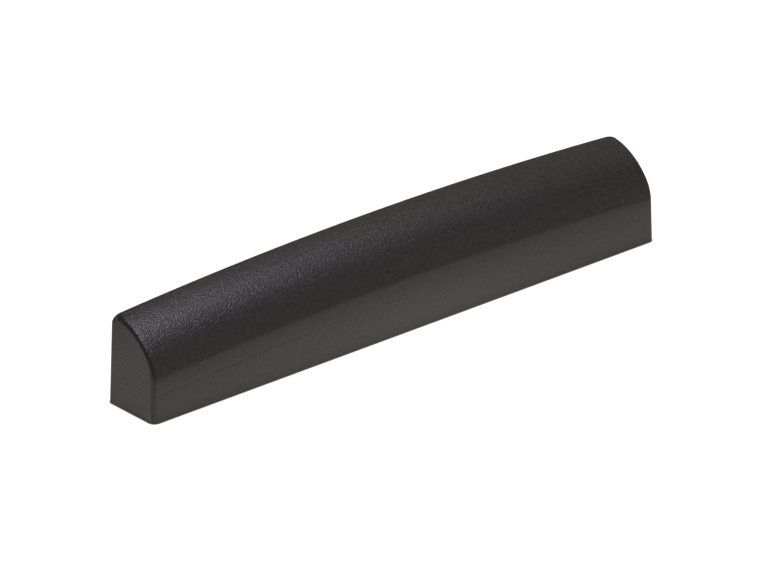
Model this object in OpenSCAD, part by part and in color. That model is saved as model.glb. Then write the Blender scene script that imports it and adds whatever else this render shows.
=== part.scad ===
// Unslotted guitar nut blank, moulded in one piece.
//
// X runs along the nut, -Y is the rounded headstock side, +Y is the flat fingerboard side
// and +Z is up. The origin is at the centre of the underside.
//
// The top is one section swept round the crown: a front curve and a flatter top curve that
// meet without a corner, and a small radius along the back edge. Flat drafted walls cut the
// sweep to size, and then the edge round each end is rounded over.

/* [Overall size] */
// Length of the underside, end to end
nut_length = 43; // [34:0.5:60]
// Width of the underside, from the headstock side to the fingerboard side
base_width = 4.6; // [4:0.1:6]
// Height at the middle of the crown, where the top curve would meet the back wall
crown_height = 7.2; // [7:0.1:7.8]

/* [Top] */
// Radius of the lengthwise crown, which matches the fingerboard's
crown_radius = 304.8; // [184:0.1:508]
// Height of the flat part of the front wall, at mid-length
front_wall_height = 3.7; // [3:0.1:4]
// Radius of the front curve, next to the front wall
front_radius = 2.75; // [2:0.05:2.9]
// Radius along the top back edge
back_edge_radius = 0.7; // [0.5:0.05:1]

/* [Moulding] */
// Draft of the front, back and end walls, in degrees
draft = 1.15; // [0.5:0.05:2]
// Radius of the edge round each end
end_edge_radius = 0.3; // [0.15:0.05:0.35]

/* [Hidden] */

// Each curve starts a few degrees off its wall, after a short flat lead-in
lead_angle = draft + 4;
lead_length = 0.15;
// Straight sides that make up each curve
front_steps = 3;
top_steps = 5;
back_steps = 5;
// How far helper solids reach past the part
margin = 1;

// Drop of the crown from mid-length to the ends
end_drop = crown_radius - sqrt(crown_radius ^ 2 - (nut_length / 2) ^ 2);
// Half of the angle that the crown sweep turns through
crown_half_angle = asin((nut_length / 2 + margin) / (crown_radius - crown_height));

function along(angle, distance) = distance * [cos(angle), sin(angle)];
function angle_of(v) = atan2(v[1], v[0]);

// Section at mid-length, as [y, z] points. Angles are of the outward normal.
front_angle = 180 - lead_angle;
front_start = [-base_width / 2 + front_wall_height * tan(draft), front_wall_height];
front_center = front_start + along(front_angle - 90, lead_length) + along(front_angle + 180, front_radius);

// The top curve is level where it would reach the back wall
top_point = [base_width / 2 - crown_height * tan(draft), crown_height];
to_top = top_point - front_center;
top_radius = (to_top * to_top - front_radius ^ 2) / (2 * (to_top[1] - front_radius));
top_center = top_point - [0, top_radius];
top_angle = angle_of(front_center - top_center);

// The back edge's centre is a set distance inside the back wall, and inside the top curve
back_inset = back_edge_radius * cos(lead_angle - draft) + lead_length * sin(lead_angle - draft);
back_foot = [base_width / 2, 0] - along(draft, back_inset);
foot_offset = back_foot - top_center;
up_back = along(draft + 90, 1);
back_rise = sqrt((foot_offset * up_back) ^ 2 - foot_offset * foot_offset
    + (top_radius - back_edge_radius) ^ 2) - foot_offset * up_back;
back_center = back_foot + back_rise * up_back;
back_angle = angle_of(back_center - top_center);

// Points round an arc, from one angle to another
function arc(center, radius, from, to, steps) =
    [for (i = [0:steps]) center + along(from + (to - from) * i / steps, radius)];
function without_first(points) = [for (i = [1:len(points) - 1]) points[i]];

// Outline of the curved top at mid-length, from the front wall to the back wall
top_outline = concat(
    arc(front_center, front_radius, front_angle, top_angle, front_steps),
    without_first(arc(top_center, top_radius, top_angle, back_angle, top_steps)),
    without_first(arc(back_center, back_edge_radius, back_angle, lead_angle, back_steps))
);

// Section of the bar before its walls are cut. Below the curves it flares past the walls.
module section() {
    flare = (crown_height + margin) / cos(lead_angle);
    polygon(concat(
        [top_outline[0] + along(front_angle + 90, flare)],
        top_outline,
        [top_outline[len(top_outline) - 1] + along(lead_angle - 90, flare)]
    ));
}

// The section swept along the crown, round an axis parallel to Y
module crowned_bar() {
    translate([0, 0, crown_height - crown_radius])
        rotate([90, 0, 0])
            rotate_extrude(angle = 2 * crown_half_angle, start = 90 - crown_half_angle, $fn = 1440)
                translate([crown_radius - crown_height, 0])
                    rotate(-90)
                        section();
}

// A block with an upright trapezoid section: flat underside, walls that lean in by the draft
module drafted_walls(width, depth) {
    top = crown_height + margin;
    lean = top * tan(draft);
    rotate([90, 0, 0])
        linear_extrude(depth, center = true)
            polygon([[-width / 2, 0], [width / 2, 0], [width / 2 - lean, top], [-width / 2 + lean, top]]);
}

// What a rounded end edge leaves out, in a plane across the edge: x is measured out from the
// side surface and y out from the end wall. The arc meets both at a small angle, which takes
// up the crown's slope.
module edge_waste() {
    side_relief = 9;
    end_relief = 4;
    side_reach = 0.4;
    end_reach = 0.15;
    center = -end_edge_radius * [cos(side_relief), cos(end_relief)];
    side_point = center + along(side_relief, end_edge_radius);
    end_point = center + along(90 - end_relief, end_edge_radius);
    side_tail = side_point + along(side_relief - 90, side_reach);
    end_tail = end_point + along(180 - end_relief, end_reach);
    difference() {
        polygon([
            center,
            side_point,
            side_tail,
            [margin, side_tail[1]],
            [margin, margin],
            [end_tail[0], margin],
            end_tail,
            end_point
        ]);
        translate(center) circle(end_edge_radius, $fn = 96);
    }
}

// Outline of an end wall, from the foot of its front edge to the foot of its back edge
lowered = [for (point = top_outline) point - [0, end_drop]];
end_outline = concat(
    [lowered[0] - along(90 - draft, crown_height)],
    lowered,
    [lowered[len(lowered) - 1] - along(90 + draft, crown_height)]
);

// Waste along one straight side of the end outline. It runs past both corners, which does no
// harm because the outline is convex.
module side_waste(side) {
    overrun = 0.5;
    run = end_outline[side + 1] - end_outline[side];
    translate(end_outline[side])
        rotate(angle_of(run) + 90)
            translate([0, overrun, 0])
                rotate([90, 0, 0])
                    linear_extrude(norm(run) + 2 * overrun)
                        edge_waste();
}

// Stands a flat outline up against both end walls
module at_ends() {
    for (side = [0, 1])
        mirror([side, 0, 0])
            translate([nut_length / 2, 0, 0])
                rotate([0, -draft, 0])
                    rotate([90, 0, 90])
                        children();
}

module walled_bar() {
    intersection() {
        crowned_bar();
        drafted_walls(nut_length, 3 * base_width);
        rotate(90) drafted_walls(base_width, 2 * nut_length);
    }
}

// The bar with its end edges rounded, one side of the end outline after another
module rounded_bar(side) {
    if (side < 0)
        walled_bar();
    else
        difference() {
            rounded_bar(side - 1);
            at_ends() side_waste(side);
        }
}

module nut_blank() {
    color([0.2, 0.19, 0.19]) rounded_bar(len(end_outline) - 2);
}

nut_blank();
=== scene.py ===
from math import atan2, cos, pi, radians, sin, sqrt, tan

import bpy
import numpy as np
from mathutils import Matrix, Vector


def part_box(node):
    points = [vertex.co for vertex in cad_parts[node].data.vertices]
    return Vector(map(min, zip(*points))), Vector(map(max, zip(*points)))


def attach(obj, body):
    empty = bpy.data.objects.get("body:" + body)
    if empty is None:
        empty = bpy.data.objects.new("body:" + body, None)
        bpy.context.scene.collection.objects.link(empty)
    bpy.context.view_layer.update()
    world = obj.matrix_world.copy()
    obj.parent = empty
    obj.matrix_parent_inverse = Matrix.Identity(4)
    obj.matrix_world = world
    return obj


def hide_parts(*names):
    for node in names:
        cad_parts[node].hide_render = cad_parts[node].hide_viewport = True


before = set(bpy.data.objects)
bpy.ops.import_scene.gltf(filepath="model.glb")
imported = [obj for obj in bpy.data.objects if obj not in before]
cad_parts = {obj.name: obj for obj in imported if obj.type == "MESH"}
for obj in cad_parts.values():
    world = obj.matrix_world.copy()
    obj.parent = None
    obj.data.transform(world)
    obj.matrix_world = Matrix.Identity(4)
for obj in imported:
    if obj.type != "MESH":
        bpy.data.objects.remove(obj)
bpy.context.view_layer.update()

# An unslotted guitar nut blank, moulded in black plastic. Units are metres. X runs along the
# nut, -Y is the rounded side, +Y the flat side, and the underside is at z = 0.
MM = 0.001
LOW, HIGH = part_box("nut_blank")
CENTRE = (LOW + HIGH) / 2

# Section at mid-length
LENGTH = HIGH.x - LOW.x
WIDTH = HIGH.y - LOW.y
CROWN_HEIGHT = 7.189 * MM
CROWN_RADIUS = 304.8 * MM
WALL_HEIGHT = 3.66 * MM
FRONT_RADIUS = 2.75 * MM
BACK_EDGE_RADIUS = 0.7 * MM
DRAFT = radians(1.15)
# Rounded edges of the ends, and of the foot. The radius over an end grows from END_RADIUS to
# CORNER_RADIUS where the section's normal is FULLEST_AT above +Y, at the back corner of the top.
END_RADIUS = 0.26 * MM
CORNER_RADIUS = 0.6 * MM
FULLEST_AT = radians(60)
FULLNESS_SPREAD = radians(40)
FOOT_RADIUS = 0.05 * MM

# Rows and columns of the mesh
WALL_ROWS = 22
FRONT_ARC_ROWS = 14
TOP_COLUMNS = 36
# The back arc's steps before and after BACK_ARC_SPLIT, where a corner of the end wall's net lies
BACK_ARC_STEPS = 7
BACK_ARC_SPLIT = radians(45)
BACK_WALL_ROWS = WALL_ROWS + FRONT_ARC_ROWS - BACK_ARC_STEPS
FOOT_ROWS = 3
FILLET_RINGS = 9
BODY_RINGS = 300
RELAX_STEPS = 3000
# Rounds of the search for where the girth meets the drafted end wall
END_WALL_ROUNDS = 6

# Plastic; grain and line depths are in millimetres, and noise scales in cells to the metre
BASE_COLOUR = (0.03, 0.0287, 0.0257)
MOTTLE_SCALE = 4000.0
MOTTLE_DETAIL = 2.0
MOTTLE_LEVELS = (0.8, 1.2)
# The range in which nearly all of a noise lies, and its mean
NOISE_RANGE = (0.3, 0.7)
NOISE_MEAN = 0.5
TOP_ROUGHNESS = 0.405
WALL_ROUGHNESS = 0.28
GRAIN_SCALE = 10000.0
GRAIN_DETAIL = 0.0
TOP_GRAIN = 0.03
END_GRAIN = 0.02
LOW_WALL_GRAIN = 0.012
WALL_GRAIN = 0.006
# Limits of the normal's z, |x| and y, between which the look of the top, of an end and of the
# front wall gives way to its neighbour's
TOP_FACING = (0.03, 0.25)
END_FACING = (0.8, 0.95)
FRONT_FACING = (-0.95, -0.8)
# A faint line along the front wall, parallel to the crown, which fades out past mid-length
LINE_LEVEL = 2.65 * MM
LINE_HALF_WIDTH = 0.18 * MM
LINE_WAVER = 0.05 * MM
LINE_DEPTH = 0.006
LINE_FADE = (-12 * MM, 0)

# Camera: the lens and the sensor are in millimetres, and the aim is off the part's centre
CAMERA_AZIMUTH = radians(40.40)
CAMERA_ELEVATION = radians(25.45)
CAMERA_DISTANCE = 820.8 * MM
CAMERA_LENS = 593.0
SENSOR_WIDTH = 36.0
AIM_RIGHT = -0.237 * MM
AIM_UP = -0.68 * MM
# How many times nearer and farther than the part the camera sees
CLIP_FACTOR = 10

# Studio. The floor's sheets lie just under the part, so that they share no plane with it.
FLOOR_SIDE = 3.0
FLOOR_HEIGHT = -0.01 * MM
FLOOR_LEVEL = 1.2
# The contact shadow: distances from the underside at which it starts and stops fading, the
# radius of its corners, and the levels left at its darkest on the floor and in the glow
CONTACT_FADE = (0.02 * MM, 0.18 * MM)
CONTACT_CORNER = 0.42 * MM
FLOOR_CONTACT = 0.045
GLOW_CONTACT = 0.6
FLOOR_GLOW_COLOUR = (1.02, 0.895, 0.915)
# Strength of the light from the floor, against Y in millimetres
GLOW_FADE = (
    (-40, 0.0), (-24, 0.08), (-14, 0.18), (-9, 0.54), (-7.5, 1.0), (-4, 1.1), (-2, 0.82),
    (6, 0.91), (12, 0.7))
# It is also brightest at GLOW_MIDDLE along X, and falls off to GLOW_REACH on either side
GLOW_MIDDLE = 1 * MM
GLOW_REACH = 19 * MM
GLOW_LEVELS = (1.09, 0.91)
# Lights: place, aim and size in millimetres, then radiance and colour
SOFTBOX = ((5, -21, 150), (5, -21, 0), (70, 70), 9.7, (0.99, 0.91, 1.06))
FILL = ((150, -250, 60), (0, 0, 0), (300, 160), 0.55, (1.04, 1, 0.96))
BACK_PANEL = ((227, 106, 165), (0, 0, 0), (500, 140), 0.31, (1.15, 1, 0.76))
AMBIENT = (0.06, 0.06, 0.06, 1)


def make_camera():
    """A long lens at the photograph's viewing angle."""
    a, e = CAMERA_AZIMUTH, CAMERA_ELEVATION
    right = Vector((cos(a), -sin(a), 0))
    up = Vector((sin(a) * sin(e), cos(a) * sin(e), cos(e)))
    back = right.cross(up)
    data = bpy.data.cameras.new("camera")
    data.lens = CAMERA_LENS
    data.sensor_width = SENSOR_WIDTH
    data.clip_start = CAMERA_DISTANCE / CLIP_FACTOR
    data.clip_end = CAMERA_DISTANCE * CLIP_FACTOR
    camera = bpy.data.objects.new("camera", data)
    turn = Matrix((right, up, back)).transposed().to_4x4()
    camera.matrix_world = Matrix.Translation(
        CENTRE + AIM_RIGHT * right + AIM_UP * up + CAMERA_DISTANCE * back
    ) @ turn
    bpy.context.scene.collection.objects.link(camera)
    bpy.context.scene.camera = camera


def unit(angle):
    """Unit vectors (y, z) at angles from +Y towards +Z."""
    return np.stack([np.cos(angle), np.sin(angle)], -1)


def section_arcs():
    """The three tangent arcs of the section at mid-length: (centre, radius, from, to)."""
    front = unit(np.array(pi - DRAFT))
    back = unit(np.array(DRAFT))
    wall_top = np.array([-WIDTH / 2 + WALL_HEIGHT * tan(DRAFT), WALL_HEIGHT])
    front_centre = wall_top - FRONT_RADIUS * front
    top_point = np.array([WIDTH / 2 - CROWN_HEIGHT * tan(DRAFT), CROWN_HEIGHT])
    to_top = top_point - front_centre
    top_radius = (to_top @ to_top - FRONT_RADIUS**2) / (2 * (to_top[1] - FRONT_RADIUS))
    top_centre = top_point - np.array([0, top_radius])
    foot = np.array([WIDTH / 2, 0]) - BACK_EDGE_RADIUS * back
    up_back = unit(np.array(DRAFT + pi / 2))
    offset = foot - top_centre
    along = offset @ up_back
    rise = sqrt(along**2 - offset @ offset + (top_radius - BACK_EDGE_RADIUS) ** 2) - along
    back_centre = foot + rise * up_back
    join_front = atan2(*(front_centre - top_centre)[::-1])
    join_back = atan2(*(back_centre - top_centre)[::-1])
    return (
        (front_centre, FRONT_RADIUS, pi - DRAFT, join_front),
        (top_centre, top_radius, join_front, join_back),
        (back_centre, BACK_EDGE_RADIUS, join_back, DRAFT),
    )


def curved_girth():
    """Points (y, z) and normal angles over the top at mid-length, from wall to wall."""
    front, top, back = section_arcs()
    stretches = [
        (front, front[2], front[3], FRONT_ARC_ROWS),
        (top, top[2], top[3], TOP_COLUMNS),
        (back, back[2], BACK_ARC_SPLIT, BACK_ARC_STEPS),
        (back, BACK_ARC_SPLIT, back[3], BACK_ARC_STEPS),
    ]
    points, angles = [], []
    for k, ((centre, radius, _, _), start, end, steps) in enumerate(stretches):
        angle = np.linspace(start, end, steps + 1)[1 if k else 0:]
        points.append(centre + radius * unit(angle))
        angles.append(angle)
    return np.concatenate(points), np.concatenate(angles)


GIRTH, NORMAL_ANGLE = curved_girth()
NORMAL = unit(NORMAL_ANGLE)
ACROSS = (GIRTH[:, 0] - GIRTH[0, 0]) / (GIRTH[-1, 0] - GIRTH[0, 0])
# Distances of the girth's points from the axis, along Y, that the crown curves round
SWEEP_RADIUS = CROWN_RADIUS - CROWN_HEIGHT + GIRTH[:, 1]


def swept(x):
    """(y, z) of the curved girth at x, one x for each girth point. The crown drops towards the
    ends, and the points slide out along the drafted walls as they drop."""
    z = CROWN_HEIGHT - CROWN_RADIUS + np.sqrt(SWEEP_RADIUS**2 - x**2)
    y = GIRTH[:, 0] + (GIRTH[:, 1] - z) * tan(DRAFT) * (2 * ACROSS - 1)
    return y, z


def end_fillet():
    """The rounded edge over one end, as rings of (x, y, z) from the body to the end wall."""
    x = np.full(len(GIRTH), LENGTH / 2)
    for _ in range(END_WALL_ROUNDS):
        y, z = swept(x)
        x = LENGTH / 2 - z * tan(DRAFT)
    fullness = np.exp(-(((NORMAL_ANGLE - FULLEST_AT) / FULLNESS_SPREAD) ** 2))
    radius = END_RADIUS + (CORNER_RADIUS - END_RADIUS) * fullness
    slope = np.arctan(x / SWEEP_RADIUS) * np.clip(NORMAL[:, 1], 0, 1)
    lean = np.arctan(NORMAL[:, 1] * tan(DRAFT))
    spread = np.cos(slope + lean)
    centre_x = radius * (np.sin(lean) - np.cos(slope)) / spread
    centre_n = radius * (np.sin(slope) - np.cos(lean)) / spread
    rings = []
    for share in np.linspace(0, 1, FILLET_RINGS):
        angle = slope + (pi / 2 - lean - slope) * share
        out_x = centre_x + radius * np.sin(angle)
        out_n = centre_n + radius * np.cos(angle)
        ring_y = y + out_n * NORMAL[:, 0]
        ring_z = z + out_n * NORMAL[:, 1]
        rings.append(np.column_stack([x + out_x, ring_y, ring_z]))
    return rings


def wall_and_foot(top, foot, out, wall_rows):
    """Rows down one wall, from under the point top to the rounded foot. foot is the wall's place
    at z = 0 before its edge is rounded, and out the wall's horizontal outward direction."""
    start = foot + (top - foot) * FOOT_RADIUS / top[2]
    rows = [start + (top - start) * (1 - k / wall_rows) for k in range(1, wall_rows + 1)]
    for k in range(1, FOOT_ROWS + 1):
        angle = pi / 2 * k / FOOT_ROWS
        inset = FOOT_RADIUS * (1 - cos(angle))
        rows.append(start - inset * out - np.array([0, 0, FOOT_RADIUS * sin(angle)]))
    return rows


def side_rows(ring, share, sign):
    """The wall's rows below one end of the girth: sign is -1 in front and 1 at the back."""
    top = ring[0] if sign < 0 else ring[-1]
    turn = pi / 2 * share
    out = np.array([sin(turn), sign * cos(turn), 0])
    corner = np.array([LENGTH / 2 - END_RADIUS, sign * (WIDTH / 2 - END_RADIUS), 0])
    foot = corner + END_RADIUS * out
    if share == 0:
        foot[0] = top[0] + top[2] * tan(DRAFT) * max(top[0], 0) / (LENGTH / 2)
    return wall_and_foot(top, foot, out, WALL_ROWS if sign < 0 else BACK_WALL_ROWS)


def closed_ring(girth, share):
    """One closed ring: up the front, over the top, down the back and along the underside."""
    front = side_rows(girth, share, -1)[::-1]
    back = side_rows(girth, share, 1)
    columns = TOP_COLUMNS + BACK_ARC_STEPS
    under = [back[-1] + (front[0] - back[-1]) * k / columns for k in range(1, columns)]
    return np.array(front + list(girth) + back + under)


def half_rings():
    """Closed rings from mid-length to the end wall."""
    fillet = end_fillet()
    rings = []
    half = BODY_RINGS // 2
    for k in range(half):
        x = fillet[0][:, 0] * k / half
        y, z = swept(x)
        rings.append(closed_ring(np.column_stack([x, y, z]), 0))
    for k, girth in enumerate(fillet):
        rings.append(closed_ring(girth, k / (FILLET_RINGS - 1)))
    return rings


def cap_points(left, right, low, high):
    """The points inside an end wall's four sides, as rows of columns: left and right run
    upwards, low and high from left to right. The net is relaxed until each point is the mean
    of its four neighbours, which can't fold it in a convex outline."""
    across = np.linspace(0, 1, len(low))[None, :, None]
    net = (1 - across) * left[:, None] + across * right[:, None]
    net[0], net[-1] = low, high
    for _ in range(RELAX_STEPS):
        net[1:-1, 1:-1] = (net[:-2, 1:-1] + net[2:, 1:-1] + net[1:-1, :-2] + net[1:-1, 2:]) / 4
    return net[1:-1, 1:-1]


def add_nut():
    """The nut blank as one closed mesh of quads."""
    half = np.array(half_rings())
    flip = np.array([-1, 1, 1])
    rings = np.concatenate([half[:0:-1] * flip, half])
    count, around = rings.shape[:2]
    vertices = [rings.reshape(-1, 3)]
    faces = []
    for r in range(count - 1):
        here, there = r * around, (r + 1) * around
        for g in range(around):
            h = (g + 1) % around
            faces.append((here + g, there + g, there + h, here + h))
    columns = TOP_COLUMNS + BACK_ARC_STEPS
    rows = FOOT_ROWS + WALL_ROWS + FRONT_ARC_ROWS
    total = len(vertices[0])
    for first, winding in ((0, -1), ((count - 1) * around, 1)):
        index = np.zeros((rows + 1, columns + 1), int)
        index[:, 0] = first + np.arange(rows + 1)
        index[:, -1] = first + 2 * rows + columns - np.arange(rows + 1)
        index[-1] = first + rows + np.arange(columns + 1)
        index[0] = first + (around - np.arange(columns + 1)) % around
        index[1:-1, 1:-1] = total + np.arange((rows - 1) * (columns - 1)).reshape(rows - 1, -1)
        sides = [vertices[0][line] for line in (index[:, 0], index[:, -1], index[0], index[-1])]
        inner = cap_points(*sides).reshape(-1, 3)
        vertices.append(inner)
        total += len(inner)
        for r in range(rows):
            for c in range(columns):
                quad = (index[r, c], index[r, c + 1], index[r + 1, c + 1], index[r + 1, c])
                faces.append(quad[::winding])
    mesh = bpy.data.meshes.new("nut_blank_skin")
    mesh.from_pydata(np.concatenate(vertices).tolist(), [], [[int(v) for v in f] for f in faces])
    mesh.shade_smooth()
    mesh.validate()
    piece = bpy.data.objects.new("nut_blank_skin", mesh)
    bpy.context.scene.collection.objects.link(piece)
    return piece


def node(tree, kind, inputs=None, **settings):
    """A new node with these settings, its inputs linked to sockets or set to values."""
    made = tree.nodes.new(kind)
    for name, value in settings.items():
        setattr(made, name, value)
    for name, value in (inputs or {}).items():
        if isinstance(value, bpy.types.NodeSocket):
            tree.links.new(value, made.inputs[name])
        else:
            made.inputs[name].default_value = value
    return made


def maths(tree, operation, *values):
    """The result of one maths operation on sockets or numbers."""
    made = node(tree, "ShaderNodeMath", dict(enumerate(values)), operation=operation)
    return made.outputs[0]


def fade(tree, value, start, end, low, high):
    """low up to start and high from end, with a smooth change between them."""
    made = node(tree, "ShaderNodeMapRange", {
        "Value": value, "From Min": start, "From Max": end, "To Min": low, "To Max": high,
    }, interpolation_type="SMOOTHSTEP")
    return made.outputs["Result"]


def noise(tree, place, scale, detail):
    """A grey noise that runs through the solid."""
    made = node(tree, "ShaderNodeTexNoise", {"Vector": place, "Scale": scale, "Detail": detail})
    return made.outputs["Fac"]


def moulded_plastic():
    """Black plastic, faintly mottled, with the fine spark-eroded grain of its mould. The grain
    is strong on the curved top and lighter on the ends, and the drafted walls are smoother
    still."""
    material = bpy.data.materials.new("moulded_plastic")
    material.use_nodes = True
    tree = material.node_tree
    tree.nodes.clear()
    surface = node(tree, "ShaderNodeTexCoord")
    place = surface.outputs["Object"]
    place_x, _, place_z = node(tree, "ShaderNodeSeparateXYZ", {"Vector": place}).outputs
    facing_x, facing_y, facing_z = node(
        tree, "ShaderNodeSeparateXYZ", {"Vector": surface.outputs["Normal"]}).outputs

    mottle = noise(tree, place, MOTTLE_SCALE, MOTTLE_DETAIL)
    colour = node(tree, "ShaderNodeVectorMath", {
        0: BASE_COLOUR, "Scale": fade(tree, mottle, *NOISE_RANGE, *MOTTLE_LEVELS),
    }, operation="SCALE")

    # Height above the underside, with the crown's drop towards the ends taken out
    crown_drop = maths(tree, "MULTIPLY", maths(tree, "POWER", place_x, 2), 0.5 / CROWN_RADIUS)
    level = maths(tree, "ADD", place_z, crown_drop)
    waver = (LINE_LEVEL - LINE_WAVER, LINE_LEVEL + LINE_WAVER)
    line_level = fade(tree, mottle, *NOISE_RANGE, *waver)
    off_line = maths(tree, "ABSOLUTE", maths(tree, "SUBTRACT", level, line_level))
    line = fade(tree, off_line, 0, LINE_HALF_WIDTH, 1, 0)
    line = maths(tree, "MULTIPLY", line, fade(tree, place_x, *LINE_FADE, 1, 0))
    line = maths(tree, "MULTIPLY", line, fade(tree, facing_y, *FRONT_FACING, LINE_DEPTH, 0))

    above_line = (LINE_LEVEL, LINE_LEVEL + LINE_HALF_WIDTH)
    wall_grain = fade(tree, level, *above_line, LOW_WALL_GRAIN, WALL_GRAIN)
    top_grain = fade(tree, facing_z, *TOP_FACING, 0, TOP_GRAIN)
    end_grain = fade(tree, maths(tree, "ABSOLUTE", facing_x), *END_FACING, 0, END_GRAIN)
    depth = maths(tree, "MAXIMUM", maths(tree, "MAXIMUM", top_grain, end_grain), wall_grain)
    grain = maths(tree, "SUBTRACT", noise(tree, place, GRAIN_SCALE, GRAIN_DETAIL), NOISE_MEAN)
    height = maths(tree, "SUBTRACT", maths(tree, "MULTIPLY", grain, depth), line)
    bump = node(tree, "ShaderNodeBump", {"Height": height, "Distance": MM})
    shader = node(tree, "ShaderNodeBsdfPrincipled", {
        "Base Color": colour.outputs["Vector"],
        "Roughness": fade(tree, facing_z, *TOP_FACING, WALL_ROUGHNESS, TOP_ROUGHNESS),
        "Normal": bump.outputs["Normal"],
    })
    node(tree, "ShaderNodeOutputMaterial", {"Surface": shader.outputs["BSDF"]})
    return material


def ramp(tree, share, stops):
    """A grey ramp through stops of (place, level), spread over the places' whole range."""
    made = node(tree, "ShaderNodeValToRGB", {"Fac": share})
    made.color_ramp.interpolation = "EASE"
    first, last = stops[0][0], stops[-1][0]
    elements = made.color_ramp.elements
    while len(elements) < len(stops):
        elements.new(1)
    for element, (place, level) in zip(elements, stops):
        element.position = (place - first) / (last - first)
        element.color = (level, level, level, 1)
    return made


def emitter(name, colour, strength_at):
    """A material that gives off light, whose strength strength_at(tree, place) works out."""
    material = bpy.data.materials.new(name)
    material.use_nodes = True
    tree = material.node_tree
    tree.nodes.clear()
    place = node(tree, "ShaderNodeTexCoord").outputs["Object"]
    shader = node(tree, "ShaderNodeEmission", {
        "Color": (*colour, 1), "Strength": strength_at(tree, place)})
    node(tree, "ShaderNodeOutputMaterial", {"Surface": shader.outputs["Emission"]})
    return material


def floor_sheet(name, material):
    """A level square sheet, which isn't part of the object."""
    half = FLOOR_SIDE / 2
    corners = [(-half, -half), (half, -half), (half, half), (-half, half)]
    mesh = bpy.data.meshes.new(name)
    mesh.from_pydata([(x, y, FLOOR_HEIGHT) for x, y in corners], [], [(0, 1, 2, 3)])
    mesh.materials.append(material)
    sheet = bpy.data.objects.new(name, mesh)
    bpy.context.scene.collection.objects.link(sheet)
    return sheet


def contact_shadow(tree, place, darkest):
    """How bright the floor is around the underside: darkest beside it, and 1 in the open. The
    distance is from a rectangle with rounded corners."""
    x, y, _ = node(tree, "ShaderNodeSeparateXYZ", {"Vector": place}).outputs
    squares = []
    for value, half in ((x, LENGTH / 2), (y, WIDTH / 2)):
        beyond = maths(tree, "SUBTRACT", maths(tree, "ABSOLUTE", value), half - CONTACT_CORNER)
        squares.append(maths(tree, "POWER", maths(tree, "MAXIMUM", beyond, 0), 2))
    from_core = maths(tree, "SQRT", maths(tree, "ADD", *squares))
    away = maths(tree, "SUBTRACT", from_core, CONTACT_CORNER)
    return fade(tree, away, *CONTACT_FADE, darkest, 1)


def floor_level(tree, place):
    """How bright the floor looks."""
    return maths(tree, "MULTIPLY", contact_shadow(tree, place, FLOOR_CONTACT), FLOOR_LEVEL)


def glow_level(tree, place):
    """How much light the floor throws onto the object."""
    x, y, _ = node(tree, "ShaderNodeSeparateXYZ", {"Vector": place}).outputs
    off_middle = maths(tree, "ABSOLUTE", maths(tree, "SUBTRACT", x, GLOW_MIDDLE))
    along = fade(tree, off_middle, 0, GLOW_REACH, *GLOW_LEVELS)
    share = node(tree, "ShaderNodeMapRange", {
        "Value": y, "From Min": GLOW_FADE[0][0] * MM, "From Max": GLOW_FADE[-1][0] * MM})
    across = ramp(tree, share.outputs["Result"], GLOW_FADE)
    level = maths(tree, "MULTIPLY", across.outputs["Color"], along)
    return maths(tree, "MULTIPLY", level, contact_shadow(tree, place, GLOW_CONTACT))


def add_floor():
    """A white floor that the camera sees, and the light that it throws onto the object."""
    floor = floor_sheet("floor", emitter("white_floor", (1, 1, 1), floor_level))
    floor.visible_glossy = False
    floor.visible_diffuse = False
    glow = floor_sheet("floor_glow", emitter("floor_glow", FLOOR_GLOW_COLOUR, glow_level))
    glow.visible_camera = False
    glow.visible_shadow = False


def add_light(name, place, aim, size, radiance, colour):
    """A rectangular light. place, aim and size are in millimetres."""
    data = bpy.data.lights.new(name, "AREA")
    data.shape = "RECTANGLE"
    data.size, data.size_y = size[0] * MM, size[1] * MM
    data.energy = radiance * pi * data.size * data.size_y
    data.color = colour
    light = bpy.data.objects.new(name, data)
    light.location = Vector(place) * MM
    light.rotation_euler = (Vector(aim) - Vector(place)).to_track_quat("-Z", "Y").to_euler()
    bpy.context.scene.collection.objects.link(light)


def add_studio():
    """The floor, the three lights and the weak light all round."""
    add_floor()
    add_light("softbox", *SOFTBOX)
    add_light("fill", *FILL)
    add_light("back_panel", *BACK_PANEL)
    world = bpy.data.worlds.new("studio")
    bpy.context.scene.world = world
    world.use_nodes = True
    world.node_tree.nodes["Background"].inputs["Color"].default_value = AMBIENT
    bpy.context.scene.view_settings.view_transform = "Standard"


make_camera()
nut = add_nut()
nut.data.materials.append(moulded_plastic())
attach(nut, "root")
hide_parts("nut_blank")
add_studio()
